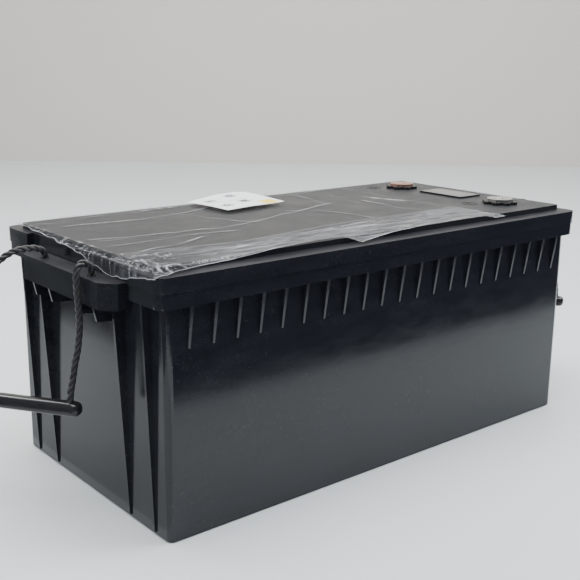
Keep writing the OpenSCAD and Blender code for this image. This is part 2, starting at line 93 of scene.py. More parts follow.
def new_mesh(name, points, faces, smooth=True):
    mesh = bpy.data.meshes.new(name)
    mesh.from_pydata([tuple(p) for p in points], [], faces)
    mesh.validate()
    mesh.update()
    if smooth:
        mesh.shade_smooth()
    obj = bpy.data.objects.new(name, mesh)
    bpy.context.collection.objects.link(obj)
    return obj


def give(obj, material):
    obj.data.materials.clear()
    obj.data.materials.append(material)


def curve_through(points, step):
    """A smooth line through the points, as points about step apart, and each one's distance along it."""
    per_span = 24
    p = [Vector(q) for q in points]
    p = [2 * p[0] - p[1]] + p + [2 * p[-1] - p[-2]]
    fine = []
    for i in range(1, len(p) - 2):
        for k in range(per_span):
            t = k / per_span
            fine.append(
                0.5
                * (
                    2 * p[i]
                    + (p[i + 1] - p[i - 1]) * t
                    + (2 * p[i - 1] - 5 * p[i] + 4 * p[i + 1] - p[i + 2]) * t * t
                    + (3 * p[i] - p[i - 1] - 3 * p[i + 1] + p[i + 2]) * t**3
                )
            )
    fine.append(p[-2])
    fine = np.array([list(q) for q in fine])
    along = np.concatenate([[0], np.cumsum(np.linalg.norm(np.diff(fine, axis=0), axis=1))])
    count = max(2, round(along[-1] / step))
    at = np.linspace(0, along[-1], count + 1)
    line = np.stack([np.interp(at, along, fine[:, k]) for k in range(3)], axis=1)
    return line, at


def carried_frames(line, aside):
    """Two unit vectors across the line at each of its points, carried along it without twist."""
    ahead = np.gradient(line, axis=0)
    ahead /= np.linalg.norm(ahead, axis=1)[:, None]
    across = np.zeros_like(line)
    a = np.array(aside, float)
    for i, d in enumerate(ahead):
        a = a - (a @ d) * d
        a /= np.linalg.norm(a)
        across[i] = a
    return across, np.cross(ahead, across)


def tube_faces(stations, sides):
    """Faces of a closed tube whose points run round each station in turn."""
    faces = []
    for i in range(stations - 1):
        for k in range(sides):
            a, b = i * sides + k, i * sides + (k + 1) % sides
            faces.append((a, b, b + sides, a + sides))
    faces.append(tuple(range(sides - 1, -1, -1)))
    faces.append(tuple(range((stations - 1) * sides, stations * sides)))
    return faces


def tube(line, radius, sides, aside):
    """Points and faces of a closed round tube along the line."""
    across, third = carried_frames(line, aside)
    points = []
    for i in range(len(line)):
        for k in range(sides):
            turn = 2 * math.pi * k / sides
            points.append(line[i] + radius * (math.cos(turn) * across[i] + math.sin(turn) * third[i]))
    return points, tube_faces(len(line), sides)


# ---------------------------------------------------------------- ropes

ROPE_LAY = 19 * MM          # one full turn of a strand
STRANDS = 3
STRAND_R = 1.36 * MM
STRAND_AT = 1.64 * MM       # from the rope's middle to a strand's
ROPE_STEP = 0.7 * MM        # between one ring of the mesh and the next

# The routes of part.scad, in millimetres
FRONT_ROUTE = [
    (-266, -42, 207.5), (-266.5, -42, 211.5), (-268.5, -42, 215.5), (-272, -42, 217.5),
    (-275.5, -42, 217), (-278, -42, 214.5), (-279.5, -42, 210.5), (-279.7, -42, 204),
    (-279.5, -42, 196), (-279, -42, 184), (-278.7, -42, 172), (-279.5, -42, 160),
    (-281.5, -42, 147), (-284.5, -41.5, 134), (-286.5, -40.5, 121), (-288, -39, 110),
    (-288, -38, 95),
]
BACK_ROUTE = [
    (-266, 42, 207.5), (-266.5, 42, 211), (-269.5, 42, 214), (-275, 42, 216),
    (-282, 42, 216.5), (-290, 42.5, 216), (-298, 43.5, 213.5), (-305, 45, 209),
    (-311.5, 47, 202.5), (-317.5, 49, 194), (-323, 51, 183.5), (-328, 53, 171.5),
    (-332.5, 55, 158), (-336.5, 57, 143.5), (-339.5, 59, 128.5), (-342, 61, 112),
    (-343, 62, 90),
]


def laid_rope(name, line, aside=(0, 1, 0)):
    """Three strands laid round the line, and each point's distance along it."""
    across, third = carried_frames(line, aside)
    along = np.concatenate([[0], np.cumsum(np.linalg.norm(np.diff(line, axis=0), axis=1))])
    points, faces, travel, yarn = [], [], [], []
    sides = 10
    for strand in range(STRANDS):
        turn = 2 * math.pi * (along / ROPE_LAY + strand / STRANDS)
        centre = line + STRAND_AT * (np.cos(turn)[:, None] * across + np.sin(turn)[:, None] * third)
        strand_points, strand_faces = tube(centre, STRAND_R, sides, aside)
        faces += [tuple(len(points) + k for k in f) for f in strand_faces]
        points += strand_points
        travel += [s for s in along for _ in range(sides)]
        yarn += [(k / sides, s / ROPE_LAY, 0) for s in along for k in range(sides)]
    obj = new_mesh(name, points, faces)
    layer = obj.data.attributes.new("yarn", "FLOAT_VECTOR", "POINT")
    layer.data.foreach_set("vector", [value for place in yarn for value in place])
    return obj, np.array(travel)


def handle_rope(name, node, route, half_turn):
    """One of a handle's ropes, laid along its route out of its ledge."""
    route = [Vector(p) * MM for p in route]
    if half_turn:
        route = [Vector((-p.x, -p.y, p.z)) for p in route]
    line, along = curve_through(route, ROPE_STEP)
    rope, travel = laid_rope(name, line)
    give(rope, MATERIALS["rope"])
    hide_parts(node)
    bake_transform(rope)


# The ledge's holes are this far either side of the middle, in millimetres
HOLE_Y = 42
# A knot's wrap, in millimetres: its distance under the ledge, height and radius; and its turns
KNOT_BELOW, KNOT_H, KNOT_R, KNOT_TURNS = 6.2, 8, 3.0, 1.6


def rope_knots(name, node):
    """Under the ledge: the rope comes down through each hole and is knotted."""
    low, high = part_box(node)
    top = high.z
    x = (low.x + high.x) / 2
    knots = []
    for y in (-HOLE_Y * MM, HOLE_Y * MM):
        straight = [Vector((x, y, z)) for z in np.linspace(top, low.z + 1 * MM, 12)]
        line, _ = curve_through(straight, ROPE_STEP)
        stem, _ = laid_rope(name + "_stem", line)
        turns = np.linspace(0, 1, 60)
        wrap_z = top - KNOT_BELOW * MM - turns * KNOT_H * MM
        angle = turns * 2 * math.pi * KNOT_TURNS
        wrap_r = KNOT_R * MM * np.sin(math.pi * np.clip(turns, 0.04, 0.96)) ** 0.3
        wrap = np.stack([x + wrap_r * np.cos(angle), y + wrap_r * np.sin(angle), wrap_z], axis=1)
        coil, _ = laid_rope(name + "_wrap", wrap, (0, 0, 1))
        knots += [stem, coil]
    knot = join(name, knots)
    give(knot, MATERIALS["rope"])
    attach(knot, "case")
    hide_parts(node)


# The grip's place and size, as in part.scad, in millimetres and degrees
GRIP_START = (-283.5, -46.5, 97.5)
GRIP_BEARING, GRIP_TILT = 118.6, 2.5
GRIP_L, GRIP_W, GRIP_H = 133, 13, 12
GRIP_END = 7                # length over which each end rounds off


def grip(name, node, body, half_turn):
    """A moulded bar with a soft, nearly round section and rounded ends."""
    stations, sides = 60, 48
    squareness, end_squareness, least_taper = 2.7, 2.6, 0.05
    points = []
    for step in np.linspace(0, math.pi, stations):
        along = GRIP_L * (1 - math.cos(step)) / 2
        from_end = min(along, GRIP_L - along)
        taper = 1.0
        if from_end < GRIP_END:
            taper = (1 - (1 - from_end / GRIP_END) ** end_squareness) ** (1 / end_squareness)
        taper = max(taper, least_taper)
        for k in range(sides):
            turn = 2 * math.pi * k / sides
            c, d = math.cos(turn), math.sin(turn)
            r = (abs(c) ** squareness + abs(d) ** squareness) ** (-1 / squareness)
            points.append(Vector((along, taper * r * c * GRIP_W / 2, taper * r * d * GRIP_H / 2)) * MM)
    place = (
        Matrix.Rotation(math.pi if half_turn else 0, 4, "Z")
        @ Matrix.Translation(Vector(GRIP_START) * MM)
        @ Matrix.Rotation(math.radians(GRIP_BEARING), 4, "Z")
        @ Matrix.Rotation(math.radians(GRIP_TILT), 4, "Y")
    )
    bar = new_mesh(name, [place @ p for p in points], tube_faces(stations, sides))
    give(bar, MATERIALS["grip_plastic"])
    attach(bar, body)
    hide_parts(node)


def join(name, objects):
    """One object from several."""
    with bpy.context.temp_override(
        active_object=objects[0], selected_objects=objects, selected_editable_objects=objects
    ):
        bpy.ops.object.join()
    objects[0].name = name
    objects[0].data.name = name
    return objects[0]


# ---------------------------------------------------------------- materials


class Nodes:
    """Short calls for building a material's nodes."""

    def __init__(self, name):
        self.material = bpy.data.materials.new(name)
        self.material.use_nodes = True
        self.tree = self.material.node_tree
        self.shader = self.tree.nodes["Principled BSDF"]
        self.at = self.tree.nodes.new("ShaderNodeTexCoord")

    def add(self, kind, **inputs):
        node = self.tree.nodes.new(kind)
        for key, value in inputs.items():
            self.put(node, key.replace("_", " "), value)
        return node

    def put(self, node, key, value):
        socket = node.inputs[key]
        if isinstance(value, bpy.types.NodeSocket):
            self.tree.links.new(value, socket)
        else:
            socket.default_value = value

    def noise(self, scale, detail=3, rough=0.5, vector=None, distortion=0):
        node = self.add(
            "ShaderNodeTexNoise", Scale=scale, Detail=detail, Roughness=rough, Distortion=distortion,
            Vector=vector or self.at.outputs["Object"],
        )
        return node.outputs["Fac"]

    def stretched(self, scale):
        node = self.add("ShaderNodeMapping", Vector=self.at.outputs["Object"], Scale=scale)
        return node.outputs["Vector"]

    def voronoi(self, scale):
        node = self.add("ShaderNodeTexVoronoi", Scale=scale, Vector=self.at.outputs["Object"])
        return node.outputs["Distance"]

    def span(self, value, low, high, out_low, out_high):
        node = self.add(
            "ShaderNodeMapRange", Value=value, From_Min=low, From_Max=high, To_Min=out_low, To_Max=out_high
        )
        return node.outputs["Result"]

    def mix(self, share, a, b):
        """A colour between a and b: the node's colour inputs are sockets 6 and 7, and its output is 2."""
        node = self.tree.nodes.new("ShaderNodeMix")
        node.data_type = "RGBA"
        self.put(node, "Factor", share)
        for socket, value in ((node.inputs[6], a), (node.inputs[7], b)):
            if isinstance(value, bpy.types.NodeSocket):
                self.tree.links.new(value, socket)
            else:
                socket.default_value = (*value, 1)
        return node.outputs[2]

    def math(self, how, a, b=0.0):
        node = self.tree.nodes.new("ShaderNodeMath")
        node.operation = how
        self.put(node, 0, a)
        self.put(node, 1, b)
        return node.outputs[0]

    def attribute(self, name, output="Fac"):
        node = self.tree.nodes.new("ShaderNodeAttribute")
        node.attribute_name = name
        return node.outputs[output]

    def bump(self, height, strength, distance, under=None):
        node = self.add("ShaderNodeBump", Height=height, Strength=strength, Distance=distance)
        if under:
            self.put(node, "Normal", under)
        return node.outputs["Normal"]

    def finish(self, **inputs):
        for key, value in inputs.items():
            self.put(self.shader, key.replace("_", " "), value)
        return self.material


def gloss_plastic(name, colour, rough=0.13, dust=0.035, wave=0.35, top_rough=None):
    """Moulded black plastic: slow waves from shrinkage, fine texture, dust and light scuffs.

    top_rough is the roughness of faces that look straight up, which are textured on the lid.
    """
    n = Nodes(name)
    scuff = n.noise(26, 5, 0.62, n.stretched((1, 1, 3.5)))
    dusty = n.span(n.noise(420, 2, 0.6), 0.62, 0.74, 0, 1)
    patch = n.span(n.noise(9, 4, 0.6), 0.42, 0.7, 0.15, 1)
    dust_share = n.math("MULTIPLY", n.math("MULTIPLY", dusty, patch), dust)
    base = n.mix(n.span(scuff, 0.3, 0.75, 0, 1), colour, [c * 1.5 for c in colour])
    slow = n.bump(n.noise(7, 1, 0.3), wave, 2.2 * MM)
    fine = n.bump(n.noise(900, 2, 0.5), 0.035, 0.3 * MM, slow)
    roughness = n.span(scuff, 0.3, 0.8, rough * 0.8, rough * 1.5)
    if top_rough:
        apart = n.add("ShaderNodeSeparateXYZ", Vector=n.at.outputs["Normal"])
        up = n.span(apart.outputs["Z"], 0.9, 0.98, 0, 1)
        extra = n.span(scuff, 0.3, 0.8, top_rough * 0.9 - rough, top_rough * 1.15 - rough)
        roughness = n.math("ADD", roughness, n.math("MULTIPLY", up, extra))
    return n.finish(
        Base_Color=n.mix(dust_share, base, (0.55, 0.55, 0.53)),
        Roughness=roughness,
        Normal=fine, IOR=1.47,
    )


def metal(name, colour, rough, brushed=(1, 1, 60)):
    """Machined or plated metal, with faint tool marks and a patchy tarnish."""
    n = Nodes(name)
    marks = n.noise(90, 3, 0.6, n.stretched(brushed))
    tarnish = n.noise(55, 4, 0.6)
    dull = [c * 0.75 for c in colour]
    return n.finish(
        Base_Color=n.mix(n.span(tarnish, 0.38, 0.72, 0, 1), colour, dull),
        Metallic=1.0,
        Roughness=n.span(marks, 0.3, 0.7, rough * 0.7, rough * 1.4),
        Normal=n.bump(marks, 0.12, 0.2 * MM),
    )


def matt(name, colour, grain, rough, bump, second=None, depth=0.3 * MM):
    """Rubber, foam, board or wrap: two close colours and a grain."""
    n = Nodes(name)
    cells = n.voronoi(grain)
    cloud = n.noise(grain * 0.08, 4, 0.6)
    return n.finish(
        Base_Color=n.mix(n.span(cloud, 0.35, 0.68, 0, 1), colour, second or [c * 1.35 for c in colour]),
        Roughness=n.span(cells, 0, 0.7, rough * 0.85, min(1, rough * 1.1)),
        Normal=n.bump(cells, bump, depth),
    )


def rope_material():
    """Fine yarns that wind round each strand."""
    n = Nodes("rope")
    yarn = n.attribute("yarn", "Vector")
    apart = n.add("ShaderNodeSeparateXYZ", Vector=yarn)
    turn = n.math("MULTIPLY", apart.outputs["X"], 9)
    slant = n.math("MULTIPLY", apart.outputs["Y"], 7)
    phase = n.math("MULTIPLY", n.math("ADD", turn, slant), 2 * math.pi)
    ridge = n.math("ADD", n.math("MULTIPLY", n.math("SINE", phase), 0.5), 0.5)
    fuzz = n.noise(1500, 3, 0.6)
    height = n.math("ADD", ridge, n.math("MULTIPLY", fuzz, 0.5))
    return n.finish(
        # Painted shade: the colour is darker in the grooves between the yarns and lighter on their tops
        Base_Color=n.mix(ridge, (0.010, 0.010, 0.011), (0.042, 0.042, 0.045)),
        Roughness=n.span(fuzz, 0.3, 0.7, 0.26, 0.4),
        Normal=n.bump(height, 0.5, 0.25 * MM),
    )


def film_material():
    """Clear film that goes white where it is creased and where it stands off the lid; part of that white is
    painted highlight and painted reflection of the room.
    """
    n = Nodes("film")
    crease_and_highlight, haze_and_reflection = n.attribute("crease_and_highlight"), n.attribute("haze_and_reflection")
    streak = n.noise(34, 5, 0.62, n.stretched((1, 4.5, 4.5)), 0.8)
    cloudy = n.span(streak, 0.36, 0.68, 0.25, 1)
    fine = n.noise(260, 3, 0.6, n.stretched((1, 2.5, 2.5)))
    milky_and_reflected = n.math("MULTIPLY", haze_and_reflection, n.math("MULTIPLY", cloudy, 0.42))
    white = n.math("MINIMUM", n.math("ADD", n.math("MULTIPLY", crease_and_highlight, 0.8), milky_and_reflected), 1.0)
    return n.finish(
        Base_Color=n.mix(white, (0.035, 0.038, 0.045), (0.84, 0.86, 0.90)),
        Roughness=n.span(fine, 0.3, 0.7, 0.10, 0.26),
        Alpha=n.math("ADD", n.math("MULTIPLY", white, 0.58), 0.24),
        Normal=n.bump(fine, 0.25, 0.5 * MM),
        IOR=1.5,
    )


def paper_material(name, colour):
    """Paper or the ink on it, with a fine fibre."""
    n = Nodes(name)
    fibre = n.noise(700, 4, 0.65, n.stretched((1, 1.8, 1)))
    return n.finish(
        Base_Color=n.mix(n.span(fibre, 0.3, 0.7, 0, 1), colour, [c * 0.93 for c in colour]),
        Roughness=n.span(fibre, 0.3, 0.7, 0.42, 0.6),
        Normal=n.bump(fibre, 0.12, 0.1 * MM),
    )


def glass_window():
    """Smoked cover of the display, with finger marks."""
    n = Nodes("display_window")
    smear = n.noise(60, 4, 0.6, n.stretched((1, 2.5, 1)))
    return n.finish(
        Base_Color=n.mix(n.span(smear, 0.35, 0.7, 0, 1), (0.018, 0.019, 0.022), (0.03, 0.031, 0.034)),
        Roughness=n.span(smear, 0.35, 0.7, 0.04, 0.12),
        Normal=n.bump(n.noise(12, 1, 0.4), 0.1, 0.5 * MM),
        IOR=1.5, Coat_Weight=0.5, Coat_Roughness=0.03,
    )


def circuit_material():
    """Green board: copper tracks as a fine grid under the mask."""
    n = Nodes("circuit_board")
    grid = n.add(
        "ShaderNodeTexBrick", Vector=n.at.outputs["Object"], Scale=160, Mortar_Size=0.06,
        Color1=(0.012, 0.10, 0.04, 1), Color2=(0.016, 0.13, 0.05, 1), Mortar=(0.05, 0.28, 0.12, 1),
    )
    return n.finish(
        Base_Color=grid.outputs["Color"],
        Roughness=n.span(n.noise(90, 3, 0.5), 0.3, 0.7, 0.22, 0.4),
        Normal=n.bump(grid.outputs["Fac"], 0.2, 0.1 * MM),
    )


MATERIALS = {
    "case_plastic": gloss_plastic("case_plastic", (0.0085, 0.0095, 0.0125), top_rough=0.4),
    "grip_plastic": gloss_plastic("grip_plastic", (0.012, 0.012, 0.0135), 0.16, 0.03, 0.15),
    "terminal_plastic": gloss_plastic("terminal_plastic", (0.009, 0.008, 0.008), 0.28, 0.03, 0.1),
    "display_frame": gloss_plastic("display_frame", (0.008, 0.008, 0.009), 0.22, 0.03, 0.1),
    "display_window": glass_window(),
    "rope": rope_material(),
    "film": film_material(),
    "label_paper": paper_material("label_paper", (0.80, 0.82, 0.84)),
    "copper": metal("copper", (0.78, 0.47, 0.36), 0.3),
    "tin_plate": metal("tin_plate", (0.66, 0.65, 0.62), 0.32),
    "steel": metal("steel", (0.56, 0.57, 0.58), 0.35),
    "aluminium": metal("aluminium", (0.72, 0.73, 0.74), 0.38, (1, 30, 1)),
    "dark_aluminium": metal("dark_aluminium", (0.10, 0.10, 0.11), 0.45, (1, 1, 30)),
    "circuit_board": circuit_material(),
    "cell_wrap": matt("cell_wrap", (0.02, 0.09, 0.32), 300, 0.3, 0.08, (0.03, 0.13, 0.40)),
    "spacer_board": matt("spacer_board", (0.18, 0.33, 0.20), 500, 0.7, 0.2),
    "foam": matt("foam", (0.045, 0.045, 0.05), 420, 0.95, 0.7, depth=0.8 * MM),
    "seal_rubber": matt("seal_rubber", (0.03, 0.03, 0.03), 600, 0.8, 0.3),
    "cable_red": matt("cable_red", (0.42, 0.015, 0.012), 450, 0.45, 0.12),
    "cable_black": matt("cable_black", (0.015, 0.015, 0.016), 450, 0.45, 0.12),
    "lead_grey": matt("lead_grey", (0.45, 0.45, 0.46), 500, 0.5, 0.12),
    "lead_blue": matt("lead_blue", (0.02, 0.08, 0.34), 500, 0.5, 0.12),
}
MARK_INK = paper_material("mark_ink", (0.10, 0.11, 0.12))
MARK_GREY = paper_material("mark_grey", (0.42, 0.44, 0.46))
MARK_YELLOW = paper_material("mark_yellow", (0.83, 0.66, 0.10))

# ---------------------------------------------------------------- CAD nodes

# Width of the rounded edge that each visible CAD node gets, in millimetres
EDGES = {
    "container": 1.0, "lid": 1.2, "display_bezel": 0.3, "display_window": 0.2,
    "positive_terminal_base": 0.7, "negative_terminal_base": 0.7,
    "positive_terminal_post": 0.35, "negative_terminal_post": 0.35,
}


def round_edges(obj, width):
    weld = obj.modifiers.new("weld", "WELD")
    weld.merge_threshold = 0.02 * MM
    bevel = obj.modifiers.new("rounded", "BEVEL")
    bevel.width = width * MM
    bevel.segments = 3
    bevel.limit_method = "ANGLE"
    bevel.angle_limit = math.radians(32)
    bevel.harden_normals = True
    bevel.use_clamp_overlap = True
    bevel.miter_outer = "MITER_ARC"


def dress_cad_nodes():
    for part in frame["record"]["subparts"]:
        obj = frame["nodes"][part["node"]]
        give(obj, MATERIALS[part["material_slot"]])
        if part["node"] in EDGES:
            round_edges(obj, EDGES[part["node"]])


# ---------------------------------------------------------------- film

PANEL_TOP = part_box("display_bezel")[0].z / MM       # millimetres, like all of the film's sizes
PANEL_END = -253
PANEL_SIDE = -117
FAR_SIDE = 118

# The film's near free edge: x, y and height, in millimetres
NEAR_EDGE = [
    (-275, -126, 222.5), (-262, -130, 222.5), (-252, -133, 222), (-240, -128, 222.5), (-213, -121, 222),
    (-186, -119, 222.2), (-165, -118.5, 223.6), (-140, -118, 225.6), (-115, -118, 226.8), (-90, -118, 227.3),
    (-66, -118, 226.8), (-58, -121, 225), (-50.5, -128.5, 222), (-42, -127, 222.8), (-4, -120.5, 224.6),
    (40, -118, 225.7), (100, -118, 226.2), (128, -118, 225.6), (140, -122, 223), (156, -122, 223.2),
]
# How far the film reaches past the panel's left end, against y
LEFT_HANG = [(-136, 7), (-124, 8), (-108, 14), (-84, 20), (-60, 22), (-30, 17), (-8, 13), (40, 8), (100, 4)]
# Creases on the flat part of the film: points in plan, in millimetres
CREASES = [
    [(-115, 78), (-105, 38), (-90, 0), (-40, -30)],
    [(-20, 10), (-70, -8), (-125, -14), (-170, -13), (-205, -6), (-238, -5)],
    [(-245, 2), (-185, -8)],
    [(-160, -43), (-200, -60), (-232, -63)],
    [(10, 6), (26, -36), (30, -75)],
    [(-30, 40), (0, 12), (55, 30)],
    [(60, 92), (50, 30), (15, 16), (-20, 10)],
    [(97, 84), (86, 38), (80, 10)],
    [(100, 28), (96, -33), (106, -54)],
    [(-235, 70), (-150, 62), (-60, 84)],
    [(-240, 96), (-120, 104), (30, 100), (130, 108)],
    [(-246, -30), (-180, -28), (-120, -36)],
]
# Where the film turns down over the left end: how far out and how far down it is, against the flat
# distance past the panel's end
TURN_AT = [0, 4, 8, 11, 15, 22]
TURN_OUT = [0, 3.9, 7.2, 9.0, 10.0, 10.6]
TURN_DOWN = [0, 0.5, 2.0, 4.2, 8.0, 14.6]
RIGHT_END = 144                     # where the film stops, short of the terminals
CORNER_X, CORNER_Y = -205, -70      # the loose corner pocket lies beyond these
FAR_LOOSE_Y = 104                   # the loose far side lies beyond this
SETTLE_Y = -98                      # nearer than this the film comes down to its near edge
LID_RIM_X, RIM_DROP = -261.5, 4.7   # the lid's rim, which the film stays above
FILM_GAP = 0.25                     # between the panel and the film where it lies flat
# A broad painted highlight, a gleam, where the film stands up in a soft fold
GLEAM = [(118, 43), (134, 1)]
# The long ridge where the film stops lying flat
RIDGE = [(-253, -68), (-200, -76), (-144, -84), (-42, -70), (87, -68), (140, -66)]


def distance_to(line, x, y):
    """Distance of each point from a polyline, in the polyline's own units."""
    best = np.full(x.shape, 1e9)
    for (ax, ay), (bx, by) in zip(line, line[1:]):
        dx, dy = bx - ax, by - ay
        t = np.clip(((x - ax) * dx + (y - ay) * dy) / (dx * dx + dy * dy), 0, 1)
        best = np.minimum(best, np.hypot(x - ax - t * dx, y - ay - t * dy))
    return best


def smooth_noise(x, y, size_x, size_y, seed):
    """Noise about -1 to 1 with features of about size_x by size_y millimetres."""
    flat = [
        noise.noise(Vector((a / size_x, b / size_y, seed)))
        for a, b in zip(x.ravel(), y.ravel())
    ]
    return np.array(flat).reshape(x.shape) * 1.6


def ridged(value):
    """Folds the noise into sharp ridges from 0 to 1."""
    return np.clip(1 - np.abs(value) * 2.2, 0, 1)


def creases_and_gleam(x, y):
    """The creases, painted gleam and ridge: how white the film is there, which is partly painted highlight,
    and how far it stands up.
    """
    crease_and_highlight, lift = np.zeros_like(x), np.zeros_like(x)
    for i, line in enumerate(CREASES):
        wander = 3.5 * smooth_noise(x, y, 40, 40, 3.1 + i)
        away = distance_to(line, x + wander, y + wander)
        fade = np.clip(0.65 + 0.55 * smooth_noise(x, y, 30, 30, 5.7 + i), 0.1, 1)
        crease_and_highlight = np.maximum(crease_and_highlight, np.exp(-((away / 0.9) ** 2)) * fade)
        lift = np.maximum(lift, 0.8 * fade * np.exp(-((away / 2.4) ** 2)))
    gleam = np.exp(-((distance_to(GLEAM, x, y) / 3.5) ** 2))
    crease_and_highlight = np.maximum(crease_and_highlight, gleam * np.clip(0.55 + 0.5 * smooth_noise(x, y, 12, 12, 4.1), 0, 0.9))
    ridge_away = distance_to(RIDGE, x, y)
    crease_and_highlight = np.maximum(crease_and_highlight, 0.5 * np.exp(-((ridge_away / 1.0) ** 2)))
    lift = np.maximum(lift, 1.6 * np.exp(-((ridge_away / 5.0) ** 2)))
    return crease_and_highlight, lift


def turned_down(x, y, z, crease_and_highlight, lift):
    """Past the panel's left end the film turns down in pleats: its new x, height and creases, whose white
    pleat lines are partly painted highlight.
    """
    over = np.clip(PANEL_END - x, 0, None)
    outward, drop = np.interp(over, TURN_AT, TURN_OUT), np.interp(over, TURN_AT, TURN_DOWN)
    pleat = smooth_noise(y, over, 7, 60, 2.2)
    x_new = np.where(over > 0, PANEL_END - outward - np.clip(over / 12, 0, 1) * np.abs(pleat) * 0.9, x)
    hung = np.minimum(z, PANEL_TOP + FILM_GAP + np.clip(1 - over / 8, 0, 1) * lift) - drop + 0.3 * pleat
    pleat_lines = ridged(smooth_noise(y + over * 0.35, over, 9, 90, 5.5)) ** 7
    crease_and_highlight = np.where(over > 0, np.maximum(crease_and_highlight * 0.35, pleat_lines * 0.75), crease_and_highlight)
    return x_new, np.where(over > 0, hung, z), crease_and_highlight


def make_film():
    """The clear film: u runs along it from the left end, and v across it from the near edge."""
    columns, rows = 330, 170
    u, v = np.meshgrid(np.linspace(0, 1, columns), np.linspace(0, 1, rows))
    v = v**1.6
    near_x, near_y, near_z = zip(*NEAR_EDGE)
    hang_y, hang_reach = zip(*LEFT_HANG)
    y_guess = PANEL_SIDE + (FAR_SIDE - PANEL_SIDE) * v
    ragged = smooth_noise(y_guess, v * 0, 13, 13, 6.6)
    left = PANEL_END - np.interp(y_guess, hang_y, hang_reach) - 1.2 * ragged
    right = RIGHT_END + 12 * np.clip(1 - v / 0.06, 0, 1) + 1.6 * np.sin(v * 9)
    x = left + (right - left) * u
    near = np.interp(x, near_x, near_y) + 0.5 * smooth_noise(x, x * 0, 14, 14, 2.9)
    far = FAR_SIDE - 1.5 + 1.5 * np.sin(x / 37) + 1.2 * np.sin(x / 11)
    y = near + (far - near) * v

    # Where the film is loose: the band nearer than the ridge, the corner pocket and the far side
    band = np.clip((np.interp(x, *zip(*RIDGE)) - y) / 7, 0, 1)
    corner = np.clip((CORNER_X - x) / 25, 0, 1) * np.clip((CORNER_Y - y) / 18, 0, 1)
    far_loose = np.clip((y - FAR_LOOSE_Y) / 12, 0, 1)
    crease_and_highlight, lift = creases_and_gleam(x, y)
    long_folds = ridged(smooth_noise(x, y, 130, 7, 7.7))
    crossing = ridged(smooth_noise(x, y, 15, 19, 1.3))
    small = ridged(smooth_noise(x, y, 8, 6, 9.1))
    lift += band * (1 - corner) * (1.0 * long_folds + 0.25 * crossing)
    lift += corner * (1.6 * long_folds + 1.4 * crossing + 0.7 * small)
    lift += far_loose * (0.6 * long_folds + 0.4 * crossing)
    lift += 0.15 * (1 + smooth_noise(x, y, 60, 30, 4.4))
    # The loose folds are painted white: partly creasing, partly painted reflection streaks and highlights
    streaks = 0.38 * long_folds**4
    crease_and_highlight = np.maximum(crease_and_highlight, band * (1 - corner) * (streaks + 0.25 * crossing**10))
    crease_and_highlight = np.maximum(crease_and_highlight, corner * (0.7 * crossing**6 + 0.6 * small**8 + streaks))
    crease_and_highlight = np.maximum(crease_and_highlight, far_loose * 0.6 * long_folds**3)

    # On the panel; towards the near edge the film settles to that edge's own height
    z = PANEL_TOP + FILM_GAP + lift
    to_edge = np.clip((SETTLE_Y - y) / (SETTLE_Y - near), 0, 1) ** 2
    z = z * (1 - to_edge) + (np.interp(x, near_x, near_z) + 0.5 * lift * (1 - to_edge)) * to_edge
    on_panel = (y > PANEL_SIDE - 0.4) & (x > PANEL_END - 0.4)
    z = np.where(on_panel, np.maximum(z, PANEL_TOP + 0.2), z)
    z = np.maximum(z, np.where(x > LID_RIM_X, PANEL_TOP - RIM_DROP, 0))
    x_new, z, crease_and_highlight = turned_down(x, y, z, crease_and_highlight, lift)

    # Painted highlights: white lines along the free edges, and glints where the film turns over the panel's
    # end
    rim_line = np.minimum.reduce([v * (far - near), (1 - u) * 400, u * 420])
    crease_and_highlight = np.maximum(crease_and_highlight, np.exp(-((rim_line / 0.6) ** 2)) * np.where(u > 0.9, 0.45, 0.8))
    glints = np.clip(0.35 + 0.9 * smooth_noise(y, x, 9, 12, 8.8), 0, 1)
    crease_and_highlight = np.maximum(crease_and_highlight, np.exp(-(((x - PANEL_END) / 1.1) ** 2)) * glints)
    # How milky the loose film is drawn, fading towards the left end: partly real haze, partly painted
    # reflection
    haze_and_reflection = np.clip(band * 0.95 + far_loose * 0.35, 0, 1)
    haze_and_reflection *= np.clip(0.1 + (x + 235) / 70, 0.1, 1)

    points = np.stack([x_new, y, z], axis=-1).reshape(-1, 3) * MM
    faces = [
        (r * columns + c, r * columns + c + 1, (r + 1) * columns + c + 1, (r + 1) * columns + c)
        for r in range(rows - 1)
        for c in range(columns - 1)
    ]
    film = new_mesh("film", points, faces)
    for name, values in (("crease_and_highlight", crease_and_highlight), ("haze_and_reflection", haze_and_reflection)):
        layer = film.data.attributes.new(name, "FLOAT", "POINT")
        layer.data.foreach_set("value", np.clip(values, 0, 1).ravel().astype(np.float32))
    give(film, MATERIALS["film"])
    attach(film, "case")
    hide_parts("protective_film")


# ---------------------------------------------------------------- label sheet

# Corners of the paper in millimetres: left, near, right, far
LABEL = [(-71, 114, 228.2), (-67, 47, 226.9), (13, 56, 228), (3, 112, 232.4)]
# Middles of the square blocks printed on it, as shares of its length and width
BLOCKS = [(0.2, 0.28), (0.58, 0.4), (0.2, 0.72), (0.6, 0.8)]


